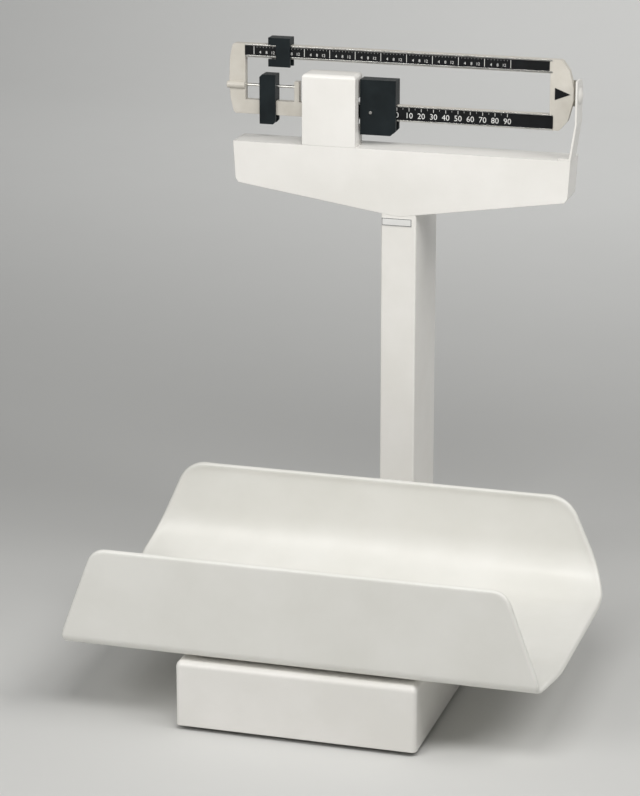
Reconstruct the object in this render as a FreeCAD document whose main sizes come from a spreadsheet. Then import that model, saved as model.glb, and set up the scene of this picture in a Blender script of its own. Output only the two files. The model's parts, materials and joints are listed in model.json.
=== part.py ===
import FreeCAD, Part
import math
import os
import re

import Sketcher

# Bench-top paediatric beam scale. Millimetres; +X right, +Y to the rear, +Z up.
# The origin is on the surface that the feet stand on, under the middle of the scale.
# The rod, the head lever, the link and the beam share one upright plane, y = beam_plane.

DIMENSIONS = {
    # base
    "base_width": 307,
    "base_depth": 590,
    "base_top": 91,
    "foot_reveal": 6,
    "sheet": 2,
    "base_edge_round": 8,
    "base_corner_round": 6,
    "pan_bottom": 8,
    "pan_top": 10.5,
    "pan_wall": 18,
    "pan_slack": 0.5,
    "foot_radius": 15,
    "foot_inset": 28,
    "screw_radius": 2.5,
    "screw_head_radius": 4.5,
    "screw_head": 2.4,
    "recess_gap": 1,
    "cover_screw_pitch": 98,
    "cover_screw_count": 3,
    # tray
    "tray_floor_half": 314,
    "tray_front_half": 305.5,
    "tray_top_half": 261,
    "tray_taper_end": -206,
    "tray_bottom": 96.6,
    "tray_top": 225.5,
    "tray_front": -294,
    "tray_rear": 74,
    "tray_wall": 5,
    "tray_end_rise": 9,
    "tray_front_round": 14,
    "tray_front_outer_round": 8,
    "tray_rear_round": 58,
    "tray_front_corner": 25,
    "tray_rear_corner": 42,
    "tray_low_corner": 5,
    "tray_lip": 2,
    # platform
    "post_x": 109,
    "post_front": -194,
    "post_rear": -10,
    "post_radius": 7,
    "post_hole_radius": 12,
    "cradle_bar": 34,
    "cradle_thick": 3,
    "cradle_overhang": 24,
    "cradle_round": 5,
    "spider_low": 76,
    "spider_high": 82,
    "spider_half_bar": 13,
    # base levers
    "long_edge": 50,
    "short_edge": 67,
    "lever_half_thick": 6,
    "lever_half_width": 96,
    "lever_rail": 20,
    "lever_shoulder": 14,
    "lever_end": 5,
    "short_lever_end": 7,
    "web_half": 12,
    "web_extra": 4,
    "window_tip": 4,
    "window_end": 90,
    "nose_half": 8,
    "nose_length": 8,
    "nose_taper": 20,
    "long_fulcrum": -262,
    "short_fulcrum": 58,
    "meeting": -102,
    "knife_half": 5,
    "knife_shoulder": 5,
    "knife_depth": 12,
    "knife_reach": 24,
    "bearing_gap": 0.05,
    "bearing_clear": 4,
    "bearing_short": 2,
    "bearing_half": 10,
    "bearing_lip": 3.5,
    "bearing_foot": 38,
    "stand_half": 12,
    # column
    "column_width": 47.6,
    "column_front": 179.7,
    "column_depth": 110,
    "flange_overhang": 16,
    "flange_thick": 4,
    "flange_round": 4,
    "rear_bolt_back": 77,
    "bolt_head_radius": 6.5,
    "bolt_head": 5,
    "rod_radius": 3,
    "rod_hole": 17,
    "rod_hole_rise": 8,
    "plate_left": -23,
    "plate_right": 18,
    "plate_low": 541,
    "plate_high": 551.5,
    "plate_thick": 0.8,
    # head
    "head_half": 228.7,
    "head_top": 642.4,
    "head_low_half": 225.8,
    "head_low": 592,
    "head_corner_half": 221.8,
    "head_corner": 586.5,
    "head_tip": 553.5,
    "head_depth": 47.2,
    "head_sheet": 1.6,
    "shelf_thick": 2,
    "cover_left": -133,
    "cover_right": -60,
    "cover_top": 737.5,
    "cover_depth": 34,
    "cover_round": 5,
    "cover_slot_low": 670,
    "cover_slot_high": 706,
    "cover_slot_gap": 4,
    "head_screw_far": 212.7,
    "head_screw_near": 91.5,
    "head_screw_drop": 12,
    "head_screw_rise": 8,
    # stand and bearings under the beam
    "fulcrum_stand_half": 12,
    "fulcrum_foot_half": 17,
    "fulcrum_foot_thick": 6,
    "cheek_outer": 14,
    "cheek_inner": 8,
    "fulcrum_bearing_depth": 10,
    # trig plate at the right end
    "trig_top": 747,
    "trig_right": 235.6,
    "trig_bend": 690,
    "trig_thick": 2.6,
    "trig_depth": 34,
    "trig_round": 15,
    "trig_foot": 16,
    "trig_slot_half": 10.8,
    "trig_slot_half_width": 4,
    "trig_tongue_half": 17,
    "trig_tongue_back": 9,
    "trig_tongue_gap": 0.6,
    "trig_tongue_thick": 3,
    "trig_bump_radius": 20,
    "trig_bump_sink": 16,
    # beam
    "beam_plane": 204.6,
    "beam_half": 5,
    "beam_left_top": -234.5,
    "beam_left": -238.5,
    "beam_left_bush": -240,
    "beam_left_arm": -238,
    "beam_left_foot": -233.5,
    "beam_left_inner": -217.4,
    "beam_right_inner": 195.5,
    "beam_right_foot": 208.5,
    "beam_nose": 226.5,
    "nose_low": 690.5,
    "nose_low_right": 219.5,
    "nose_flat": 8,
    "nose_high": 756,
    "nose_high_right": 220.5,
    "nose_top_right": 210.5,
    "beam_round": 5,
    "beam_axis": 725.5,
    "upper_low": 752,
    "upper_high": 770,
    "lower_low": 677.4,
    "lower_high": 698.4,
    "left_low": 676,
    "left_high": 695,
    "boss_left": -128,
    "boss_right": -66,
    "boss_top": 728,
    "boss_slant": 4,
    "rod_post_left": -149.5,
    "rod_post_right": -143,
    "rod_post_top": 722,
    "upper_label_low": 755.2,
    "upper_label_high": 767.5,
    "upper_label_right": 194.5,
    "lower_label_low": 679.6,
    "lower_label_high": 696.5,
    "lower_label_left": -62,
    "lower_label_right": 200.3,
    "label_thick": 0.8,
    "label_round": 1.6,
    "balance_rod_level": 714.3,
    "balance_rod_radius": 1.9,
    "bush_radius": 4.75,
    "bush_left": -242,
    "stop_pin_radius": 3,
    "stop_pin": 214,
    "stop_pin_length": 6,
    "arrow_left": 202,
    "arrow_right": 222.4,
    "arrow_half": 8,
    "arrow_thick": 0.5,
    # beam pivots and the lever inside the head
    "fulcrum": -78,
    "load": -113,
    "beam_edge": 706,
    "beam_knife_reach": 15,
    "head_lever_edge": 606,
    "head_lever_fulcrum": 110,
    "head_lever_half": 4,
    "head_lever_rise": 8,
    "head_knife_reach": 14,
    "hanger_drop": 10,
    "yoke_inner": 6.5,
    "yoke_outer": 11,
    "yoke_half": 8,
    "yoke_bridge": 6,
    "yoke_window": 6.5,
    "yoke_clear": 3,
    "yoke_over": 9,
    "yoke_drop": 26,
    "window_spare": 2,
    "stirrup_slack": 0.3,
    "stirrup_width": 9,
    "stirrup_below": 14,
    "stirrup_above": 26,
    "stirrup_gap": 3,
    "stirrup_window": 18,
    # poises and balance weight
    "main_left": -57.5,
    "main_right": -9,
    "main_low": 658,
    "main_high": 731.5,
    "main_half": 10.5,
    "main_pin_across": 14.5,
    "main_pin_up": 30,
    "main_pin_proud": 1,
    "poise_gap": 0.25,
    "poise_chamfer": 7,
    "part_left": -184,
    "part_right": -154,
    "part_low": 741.5,
    "part_high": 780,
    "part_half": 9.5,
    "part_window": 10.5,
    "part_window_drop": 0.5,
    "weight_left": -196.5,
    "weight_right": -174.5,
    "weight_low": 664,
    "weight_high": 730.5,
    "weight_half": 9.5,
    "weight_chamfer": 3.5,
    "running_gap": 0.05,
    "keeper_radius": 2,
    "keeper_gap": 1,
}

doc = FreeCAD.newDocument("beam_scale")
sheet = doc.addObject("Spreadsheet::Sheet", "Dims")
for row, (alias, value) in enumerate(DIMENSIONS.items(), 1):
    sheet.set(f"A{row}", alias)
    sheet.set(f"B{row}", str(value))
    sheet.setAlias(f"B{row}", alias)
doc.recompute()

nodes = []

# plane: role of the origin plane, and the sign of its normal along the remaining axis
PLANES = {"XY": ("XY_Plane", 1), "XZ": ("XZ_Plane", -1), "YZ": ("YZ_Plane", 1)}

# rotation that turns a cylinder's own axis, +Z, to the named axis
TURNS = {
    "X": FreeCAD.Rotation(FreeCAD.Vector(0, 1, 0), 90),
    "Y": FreeCAD.Rotation(FreeCAD.Vector(1, 0, 0), -90),
    "Z": FreeCAD.Rotation(),
}

TINY = 0.01


def bound(text):
    """An expression in plain dimension names, with each name pointed at the sheet."""

    def point(match):
        word = match.group()
        return f"Dims.{word}" if word in DIMENSIONS else word

    return re.sub(r"[a-z][a-z_]*", point, str(text))


def node(name, obj):
    """Registers a finished piece, whose Label names its file."""
    obj.Label = name
    nodes.append(obj)
    return obj


def block(name, across, along, up):
    """A box between two expressions on each axis."""
    box = doc.addObject("Part::Box", name)
    spans = (("Length", "x", across), ("Width", "y", along), ("Height", "z", up))
    for size, axis, (low, high) in spans:
        box.setExpression(size, bound(f"({high}) - ({low})"))
        box.setExpression(f".Placement.Base.{axis}", bound(low))
    return box


def rod(name, axis, radius, start, length):
    """A cylinder from start along an axis."""
    bar = doc.addObject("Part::Cylinder", name)
    bar.Placement = FreeCAD.Placement(FreeCAD.Vector(), TURNS[axis])
    bar.setExpression("Radius", bound(radius))
    bar.setExpression("Height", bound(length))
    for letter, text in zip("xyz", start):
        bar.setExpression(f".Placement.Base.{letter}", bound(text))
    return bar


def combine(kind, name, pieces):
    """Part::MultiFuse or Part::Compound of several pieces."""
    result = doc.addObject(kind, name)
    if kind == "Part::Compound":
        result.Links = pieces
    else:
        result.Shapes = pieces
    return result


def fused(name, pieces):
    return combine("Part::MultiFuse", name, pieces)


def group(name, pieces):
    """Identical separate solids that share one node."""
    return node(name, combine("Part::Compound", name, pieces))


def without(name, base, tool):
    result = doc.addObject("Part::Cut", name)
    result.Base = base
    result.Tool = tool
    return result


def new_sketch(body, plane, level):
    """A sketch on an origin plane of its own body, lifted to a level along the third axis."""
    role, sign = PLANES[plane]
    sketch = body.newObject("Sketcher::SketchObject", f"{body.Name}_sketch")
    support = [item for item in body.Origin.OriginFeatures if item.Role == role]
    sketch.AttachmentSupport = [(support[0], "")]
    sketch.MapMode = "FlatFace"
    sketch.setExpression("AttachmentOffset.Base.z", bound(f"{sign} * ({level})"))
    return sketch


def add_outline(sketch, points):
    """A closed polygon with both coordinates of every corner bound to the sheet."""
    first = sketch.GeometryCount
    count = len(points)
    turn = 2 * math.pi / count
    ring = [FreeCAD.Vector(math.cos(turn * i), math.sin(turn * i), 0) for i in range(count)]
    for i in range(count):
        sketch.addGeometry(Part.LineSegment(ring[i], ring[(i + 1) % count]), False)
    for i in range(count):
        joint = Sketcher.Constraint("Coincident", first + i, 2, first + (i + 1) % count, 1)
        sketch.addConstraint(joint)
    for i, (across, up) in enumerate(points):
        for kind, start, text in (("DistanceX", ring[i].x, across), ("DistanceY", ring[i].y, up)):
            index = sketch.addConstraint(Sketcher.Constraint(kind, -1, 1, first + i, 1, start))
            sketch.setExpression(f"Constraints[{index}]", bound(text))


def add_circle(sketch, across, up, radius):
    index = sketch.addGeometry(Part.Circle(FreeCAD.Vector(1, 1, 0), FreeCAD.Vector(0, 0, 1), 1), False)
    pairs = (
        (Sketcher.Constraint("DistanceX", -1, 1, index, 3, 1.0), across),
        (Sketcher.Constraint("DistanceY", -1, 1, index, 3, 1.0), up),
        (Sketcher.Constraint("Radius", index, 1.0), radius),
    )
    for constraint, text in pairs:
        place = sketch.addConstraint(constraint)
        sketch.setExpression(f"Constraints[{place}]", bound(text))


def draw(sketch, loops):
    """Each loop is a list of corners, or a circle as a tuple of three."""
    for loop in loops:
        if isinstance(loop, tuple):
            add_circle(sketch, *loop)
        else:
            add_outline(sketch, loop)


def start_level(plane, low, high):
    """The pad and pocket run along the plane's normal, which is -Y for XZ."""
    return high if plane == "XZ" else low


def prism(name, plane, loops, low, high):
    """A body whose outline stands on a plane and runs from low to high along the third axis."""
    body = doc.addObject("PartDesign::Body", name)
    sketch = new_sketch(body, plane, start_level(plane, low, high))
    draw(sketch, loops)
    pad = body.newObject("PartDesign::Pad", f"{name}_pad")
    pad.Profile = sketch
    pad.setExpression("Length", bound(f"({high}) - ({low})"))
    return body


def pocket(body, plane, loops, low, high):
    """Cuts the loops out of a body between low and high, and checks that it did."""
    doc.recompute()
    before = body.Shape.Volume
    sketch = new_sketch(body, plane, start_level(plane, low, high))
    draw(sketch, loops)
    cut = body.newObject("PartDesign::Pocket", f"{body.Name}_pocket")
    cut.Profile = sketch
    cut.Reversed = True
    cut.setExpression("Length", bound(f"({high}) - ({low})"))
    doc.recompute()
    if body.Shape.Volume > before - TINY:
        raise RuntimeError(f"{body.Name}: the pocket removed nothing")


def dress(body, kind, size, pick, text):
    """A Fillet or Chamfer on the edges whose bounding box passes pick."""
    doc.recompute()
    base = body.Tip
    names = [f"Edge{i}" for i, edge in enumerate(base.Shape.Edges, 1) if pick(edge.BoundBox)]
    if not names:
        raise RuntimeError(f"{body.Name}: no edge to dress")
    feature = body.newObject(f"PartDesign::{kind}", f"{body.Name}_{kind.lower()}")
    feature.Base = (base, names)
    feature.setExpression(size, bound(text))
    doc.recompute()


def round_edges(body, pick, radius):
    dress(body, "Fillet", "Radius", pick, radius)


def bevel_edges(body, pick, size):
    dress(body, "Chamfer", "Size", pick, size)


def rectangle(left, right, low, high):
    return [(left, low), (right, low), (right, high), (left, high)]


def runs_along(box, axis):
    """Is this the box of a straight edge along one axis?"""
    lengths = {"X": box.XLength, "Y": box.YLength, "Z": box.ZLength}
    others = [lengths[letter] for letter in "XYZ" if letter != axis]
    return lengths[axis] > TINY and max(others) < TINY


def near(a, b):
    return abs(a - b) < TINY


D = DIMENSIONS


# ---------------------------------------------------------------- base


def base_cover():
    cover = prism(
        "base_cover",
        "XY",
        [rectangle("-base_width / 2", "base_width / 2", "-base_depth / 2", "base_depth / 2")],
        "foot_reveal",
        "base_top",
    )
    round_edges(cover, lambda box: runs_along(box, "Z"), "base_corner_round")
    round_edges(cover, lambda box: near(box.ZMin, D["base_top"]), "base_edge_round")
    solid = cover.Tip
    underside = [
        f"Face{i}"
        for i, face in enumerate(solid.Shape.Faces, 1)
        if near(face.BoundBox.ZMax, D["foot_reveal"])
    ]
    shell = cover.newObject("PartDesign::Thickness", "base_cover_shell")
    shell.Base = (solid, underside)
    shell.setExpression("Value", bound("sheet"))
    shell.Reversed = True
    doc.recompute()
    holes = [
        (f"{side} * post_x", post, "post_hole_radius")
        for side in (-1, 1)
        for post in ("post_front", "post_rear")
    ]
    holes.append(("0", "beam_plane", "rod_hole"))
    pocket(cover, "XY", holes, "base_top - base_edge_round", "base_top + sheet")
    node("base_cover", cover)


def base_pan():
    """A shallow tray of thicker sheet that closes the cover from below."""
    inset = "(sheet + pan_slack)"

    def plan(wall):
        half_width = f"(base_width / 2 - {inset} - {wall})"
        half_depth = f"(base_depth / 2 - {inset} - {wall})"
        return rectangle(f"-{half_width}", half_width, f"-{half_depth}", half_depth)

    pan = prism("base_pan", "XY", [plan("0")], "pan_bottom", "pan_top + pan_wall")
    round_edges(pan, lambda box: runs_along(box, "Z"), "base_corner_round")
    pocket(pan, "XY", [plan("sheet")], "pan_top", "pan_top + pan_wall + sheet")
    node("base_pan", pan)


def foot_places():
    for side in (-1, 1):
        for end in (-1, 1):
            yield f"{side} * (base_width / 2 - foot_inset)", f"{end} * (base_depth / 2 - foot_inset)"


def feet():
    pads = []
    screws = []
    for i, (across, along) in enumerate(foot_places()):
        foot = rod(f"foot_{i}", "Z", "foot_radius", (across, along, "0"), "pan_bottom")
        below = (across, along, "-recess_gap")
        recess = rod(
            f"recess_{i}",
            "Z",
            "screw_head_radius + recess_gap",
            below,
            "recess_gap + pan_bottom / 2",
        )
        bore = rod(f"bore_{i}", "Z", "screw_radius", below, "2 * recess_gap + pan_bottom")
        pads.append(without(f"rubber_{i}", foot, fused(f"foot_hole_{i}", [recess, bore])))
        head = rod(
            f"foot_head_{i}",
            "Z",
            "screw_head_radius",
            (across, along, "pan_bottom / 2 - screw_head"),
            "screw_head",
        )
        shank = rod(
            f"foot_shank_{i}",
            "Z",
            "screw_radius",
            (across, along, "pan_bottom / 2"),
            "pan_bottom / 2",
        )
        screws.append(fused(f"foot_screw_{i}", [head, shank]))
    group("rubber_feet", pads)
    group("foot_screws", screws)


def cover_screws():
    """Low-headed screws along the rear half of each side hold the cover to the pan."""
    screws = []
    for side, axis_start in ((-1, "-base_width / 2 - screw_head"), (1, "base_width / 2")):
        for step in range(D["cover_screw_count"]):
            place = (axis_start, f"{step} * cover_screw_pitch", "pan_top + pan_wall / 2")
            screws.append(rod("cover_screw", "X", "screw_head_radius", place, "screw_head"))
    group("cover_screws", screws)


# ---------------------------------------------------------------- pivots


def knife(name, plane, across, edge, sign, low, high):
    """A hardened pivot: its edge at (across, edge), its body towards sign."""
    points = [
        (across, edge),
        (f"{across} + knife_half", f"{edge} + {sign} * knife_shoulder"),
        (f"{across} + knife_half", f"{edge} + {sign} * knife_depth"),
        (f"{across} - knife_half", f"{edge} + {sign} * knife_depth"),
        (f"{across} - knife_half", f"{edge} + {sign} * knife_shoulder"),
    ]
    return prism(name, plane, [points], low, high)


def bearing(name, across, edge, sign, far, low, high):
    """A grooved block that a knife edge rests in; its groove opens towards sign."""
    apex = f"{edge} - {sign} * bearing_gap"
    lip = f"{apex} + {sign} * bearing_lip"
    points = [
        (across, apex),
        (f"{across} + 2 * bearing_lip", lip),
        (f"{across} + bearing_half", lip),
        (f"{across} + bearing_half", far),
        (f"{across} - bearing_half", far),
        (f"{across} - bearing_half", lip),
        (f"{across} - 2 * bearing_lip", lip),
    ]
    return prism(name, "YZ", [points], low, high)


def on_both_sides(make, inner, outer):
    """Calls make(low, high) for the left and the right of the scale."""
    left = make(f"-({outer})", f"-({inner})")
    right = make(inner, outer)
    return [left, right]


def knife_pair(along, edge, sign):
    def one(low, high):
        return knife("lever_knife", "YZ", along, edge, sign, low, high)

    return on_both_sides(one, "lever_half_width", "lever_half_width + knife_reach")


def nose_knife(along, edge):
    return knife("lever_knife", "YZ", along, edge, 1, "-nose_half", "nose_half")


def bearing_pair(name, along, edge, sign, far):
    def one(low, high):
        return bearing("groove_block", along, edge, sign, far, low, high)

    inner = "lever_half_width + bearing_clear"
    group(name, on_both_sides(one, inner, "lever_half_width + knife_reach - bearing_short"))


def stand_pair(name, along, top):
    """A block under each bearing, bolted to the pan."""

    def one(low, high):
        depth = (f"{along} - stand_half", f"{along} + stand_half")
        return block("stand_block", (low, high), depth, ("pan_top", top))

    inner = "lever_half_width + bearing_short"
    group(name, on_both_sides(one, inner, "lever_half_width + knife_reach"))


# ---------------------------------------------------------------- base levers


def long_lever():
    """An A-shaped lever from the front fulcrums to its nose under the column."""
    nose_end = "beam_plane - knife_half"
    taper = "(lever_half_width - nose_half) / (beam_plane - nose_taper - post_front)"
    front = "long_fulcrum - knife_half - lever_end"
    width_at = f"lever_half_width - {taper} * (meeting - post_front)"
    outer = [
        ("-lever_half_width", front),
        ("lever_half_width", front),
        ("lever_half_width", "post_front + lever_shoulder"),
        ("nose_half", "beam_plane - nose_taper"),
        ("nose_half", nose_end),
        ("-nose_half", nose_end),
        ("-nose_half", "beam_plane - nose_taper"),
        ("-lever_half_width", "post_front + lever_shoulder"),
    ]
    front_window = [
        ("-lever_half_width + lever_rail", f"{front} + lever_rail"),
        ("lever_half_width - lever_rail", f"{front} + lever_rail"),
        ("lever_half_width - lever_rail", "post_front"),
        (f"{width_at} - lever_rail", "meeting - web_half"),
        (f"-({width_at}) + lever_rail", "meeting - web_half"),
        ("-lever_half_width + lever_rail", "post_front"),
    ]
    rear_window = [
        (f"-({width_at}) + lever_rail + web_extra", "meeting + web_half"),
        (f"{width_at} - lever_rail - web_extra", "meeting + web_half"),
        ("window_tip", "beam_plane - window_end"),
        ("-window_tip", "beam_plane - window_end"),
    ]
    lever = prism(
        "long_lever",
        "XY",
        [outer, front_window, rear_window],
        "long_edge - lever_half_thick",
        "long_edge + lever_half_thick",
    )
    node("long_lever", lever)
    knives = knife_pair("long_fulcrum", "long_edge", 1)
    knives += knife_pair("post_front", "long_edge", -1)
    knives.append(nose_knife("beam_plane", "long_edge"))
    group("long_lever_knives", knives)
    apex = "short_edge - bearing_gap"
    half = "(knife_half - stirrup_slack)"
    groove = [
        ("meeting", apex),
        (f"meeting + {half}", f"{apex} + {half} / 2"),
        (f"meeting + {half}", "long_edge + lever_half_thick"),
        (f"meeting - {half}", "long_edge + lever_half_thick"),
        (f"meeting - {half}", f"{apex} + {half} / 2"),
    ]
    node("meeting_bearing", prism("meeting_bearing", "YZ", [groove], "-nose_half", "nose_half"))


def short_lever():
    """The shorter lever from the rear fulcrums forward to its nose on the long lever."""
    rear = "short_fulcrum + knife_half + short_lever_end"
    nose_end = "meeting + knife_half"
    outer = [
        ("-lever_half_width", rear),
        ("-lever_half_width", "post_rear - web_half"),
        ("-nose_half", f"{nose_end} + nose_length"),
        ("-nose_half", nose_end),
        ("nose_half", nose_end),
        ("nose_half", f"{nose_end} + nose_length"),
        ("lever_half_width", "post_rear - web_half"),
        ("lever_half_width", rear),
    ]
    window = [
        ("-lever_half_width + lever_rail", f"{rear} - lever_rail"),
        ("-lever_half_width + lever_rail", "post_rear - sheet"),
        ("-nose_half", f"{nose_end} + nose_length + lever_rail"),
        ("nose_half", f"{nose_end} + nose_length + lever_rail"),
        ("lever_half_width - lever_rail", "post_rear - sheet"),
        ("lever_half_width - lever_rail", f"{rear} - lever_rail"),
    ]
    lever = prism(
        "short_lever",
        "XY",
        [outer, window],
        "short_edge - lever_half_thick",
        "short_edge + lever_half_thick",
    )
    node("short_lever", lever)
    knives = knife_pair("short_fulcrum", "short_edge", 1)
    knives += knife_pair("post_rear", "short_edge", -1)
    knives.append(nose_knife("meeting", "short_edge"))
    group("short_lever_knives", knives)


def lever_stands():
    stand_pair("front_stands", "long_fulcrum", "bearing_foot")
    bearing_pair("front_bearings", "long_fulcrum", "long_edge", 1, "bearing_foot")
    stand_pair("rear_stands", "short_fulcrum", "bearing_foot + short_edge - long_edge")
    rear_far = "bearing_foot + short_edge - long_edge"
    bearing_pair("rear_bearings", "short_fulcrum", "short_edge", 1, rear_far)


# ---------------------------------------------------------------- platform and tray


def post_places():
    for side in (-1, 1):
        for along in ("post_front", "post_rear"):
            yield f"{side} * post_x", along


def platform():
    bearing_pair("front_platform_bearings", "post_front", "long_edge", -1, "spider_low")
    bearing_pair("rear_platform_bearings", "post_rear", "short_edge", -1, "spider_low")
    half = "spider_half_bar"
    ring = [
        rectangle(
            f"-post_x - {half}", f"post_x + {half}", f"post_front - {half}", f"post_rear + {half}"
        ),
        rectangle(
            f"-post_x + {half}", f"post_x - {half}", f"post_front + {half}", f"post_rear - {half}"
        ),
    ]
    node("platform_spider", prism("platform_spider", "XY", ring, "spider_low", "spider_high"))
    top = "tray_bottom - cradle_thick"
    posts = [
        rod("post", "Z", "post_radius", (across, along, "spider_high"), f"{top} - spider_high")
        for across, along in post_places()
    ]
    group("cradle_posts", posts)
    reach = "cradle_overhang"
    frame = [
        rectangle(
            f"-post_x - {reach}", f"post_x + {reach}", f"post_front - {reach}", f"post_rear + {reach}"
        ),
        rectangle(
            f"-post_x - {reach} + cradle_bar",
            f"post_x + {reach} - cradle_bar",
            f"post_front - {reach} + cradle_bar",
            f"post_rear + {reach} - cradle_bar",
        ),
    ]
    cradle = prism("tray_cradle", "XY", frame, top, "tray_bottom")
    round_edges(cradle, lambda box: runs_along(box, "Z"), "cradle_round")
    node("tray_cradle", cradle)


def tray_ends(body):
    """Slopes the walls' ends in towards the rims, and tapers the floor towards the front."""
    start = "tray_bottom + tray_end_rise"
    over = "tray_rear_corner"
    rise = f"(tray_top - ({start}))"
    walls = (
        ("tray_front_half", "tray_front - tray_lip", "tray_front + 2 * tray_wall"),
        ("tray_floor_half", "tray_rear - tray_rear_round - tray_wall", "tray_rear + tray_lip"),
    )
    for side in (-1, 1):
        for half, low, high in walls:
            slope = f"({half} - tray_top_half) / {rise}"
            wedge = [
                (f"{side} * {half}", start),
                (f"{side} * (tray_floor_half + {over})", start),
                (f"{side} * (tray_floor_half + {over})", f"tray_top + {over}"),
                (f"{side} * (tray_top_half - {slope} * {over})", f"tray_top + {over}"),
            ]
            pocket(body, "XZ", [wedge], low, high)
        taper = [
            (f"{side} * tray_front_half", "tray_front - tray_lip"),
            (f"{side} * (tray_floor_half + tray_lip)", "tray_front - tray_lip"),
            (f"{side} * (tray_floor_half + tray_lip)", "tray_taper_end"),
            (f"{side} * tray_floor_half", "tray_taper_end"),
        ]
        pocket(body, "XY", [taper], "tray_bottom - tray_lip", f"{start} + tray_lip")
        foot = "tray_bottom - tray_lip"
        nick = [
            (f"{side} * (tray_front_half - tray_low_corner)", foot),
            (f"{side} * (tray_floor_half + tray_lip)", foot),
            (f"{side} * (tray_floor_half + tray_lip)", "tray_bottom + tray_low_corner"),
            (f"{side} * tray_front_half", "tray_bottom + tray_low_corner"),
            (f"{side} * (tray_front_half - tray_low_corner)", "tray_bottom"),
        ]
        pocket(body, "XZ", [nick], "tray_front - tray_lip", "tray_front + tray_front_outer_round")


def tray():
    """A deep trough with two long walls; both ends are open and slope inwards to the top."""
    section = [
        ("tray_front", "tray_bottom"),
        ("tray_rear", "tray_bottom"),
        ("tray_rear", "tray_top"),
        ("tray_rear - tray_wall", "tray_top"),
        ("tray_rear - tray_wall", "tray_bottom + tray_wall"),
        ("tray_front + tray_wall", "tray_bottom + tray_wall"),
        ("tray_front + tray_wall", "tray_top"),
        ("tray_front", "tray_top"),
    ]
    body = prism("tray", "YZ", [section], "-tray_floor_half", "tray_floor_half")

    def floor_edge(y, z):
        return lambda box: runs_along(box, "X") and near(box.YMin, y) and near(box.ZMin, z)

    low = D["tray_bottom"]
    floor = low + D["tray_wall"]
    inner_front = D["tray_front"] + D["tray_wall"]
    inner_rear = D["tray_rear"] - D["tray_wall"]
    round_edges(body, floor_edge(inner_rear, floor), "tray_rear_round")
    round_edges(body, floor_edge(D["tray_rear"], low), "tray_rear_round + tray_wall")
    round_edges(body, floor_edge(inner_front, floor), "tray_front_round")
    round_edges(body, floor_edge(D["tray_front"], low), "tray_front_outer_round")
    tray_ends(body)

    def rim_end(start):
        return lambda box: runs_along(box, "Y") and near(box.ZMin, D["tray_top"]) and near(box.YMin, start)

    round_edges(body, rim_end(D["tray_front"]), "tray_front_corner")
    round_edges(body, rim_end(inner_rear), "tray_rear_corner")
    node("tray", body)


# ---------------------------------------------------------------- column


def v_rise(half):
    """Height of the head's lower edge above its tip, at a distance from the middle."""
    return f"(head_corner - head_tip) / head_corner_half * ({half})"


def column():
    shoulder = f"head_tip + {v_rise('column_width / 2')}"
    outline = [
        ("-column_width / 2", "base_top + flange_thick"),
        ("column_width / 2", "base_top + flange_thick"),
        ("column_width / 2", shoulder),
        ("0", "head_tip"),
        ("-column_width / 2", shoulder),
    ]
    body = prism("column", "XZ", [outline], "column_front", "column_front + column_depth")
    round_edges(
        body,
        lambda box: runs_along(box, "Z"),
        "sheet",
    )
    inside = rectangle(
        "-column_width / 2 + sheet",
        "column_width / 2 - sheet",
        "column_front + sheet",
        "column_front + column_depth - sheet",
    )
    pocket(body, "XY", [inside], "base_top", "head_top")
    node("column", body)

    rear = "column_front + column_depth"
    cap = [
        ("-column_width / 2", shoulder),
        ("0", "head_tip"),
        ("column_width / 2", shoulder),
        ("column_width / 2", f"{shoulder} + sheet"),
        ("0", "head_tip + sheet"),
        ("-column_width / 2", f"{shoulder} + sheet"),
    ]
    start = "column_front + head_depth + head_sheet"
    node("column_cap", prism("column_cap", "XZ", [cap], start, rear))

    plate = block(
        "name_plate_shape",
        ("plate_left", "plate_right"),
        ("column_front - plate_thick", "column_front"),
        ("plate_low", "plate_high"),
    )
    node("name_plate", plate)


def column_flange():
    reach = "flange_overhang"
    outer = rectangle(
        f"-column_width / 2 - {reach}",
        f"column_width / 2 + {reach}",
        f"column_front - {reach}",
        f"column_front + column_depth - {reach} / 2",
    )
    plate = prism(
        "column_flange",
        "XY",
        [outer, ("0", "beam_plane", "rod_hole")],
        "base_top",
        "base_top + flange_thick",
    )
    beside = D["column_width"] / 2
    round_edges(plate, lambda box: runs_along(box, "Z") and abs(box.XMin) > beside, "flange_round")
    node("column_flange", plate)
    heads = []
    for side in (-1, 1):
        for along in ("column_front", "column_front + rear_bolt_back"):
            place = (f"{side} * (column_width / 2 + {reach} / 2)", along, "base_top + flange_thick")
            heads.append(rod("flange_bolt", "Z", "bolt_head_radius", place, "bolt_head"))
    group("flange_bolts", heads)


# ---------------------------------------------------------------- head


def head_outline(inset, top):
    """The front panel's outline, drawn in by inset on its sides and its lower edge."""
    half = f"head_half - {inset}"
    low_half = f"head_low_half - {inset}"
    corner_half = f"head_corner_half - {inset}"
    return [
        (f"-({half})", top),
        (f"-({low_half})", f"head_low + {inset} / 2"),
        (f"-({corner_half})", f"head_corner + {inset}"),
        ("0", f"head_tip + {inset}"),
        (corner_half, f"head_corner + {inset}"),
        (low_half, f"head_low + {inset} / 2"),
        (half, top),
    ]


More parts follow.
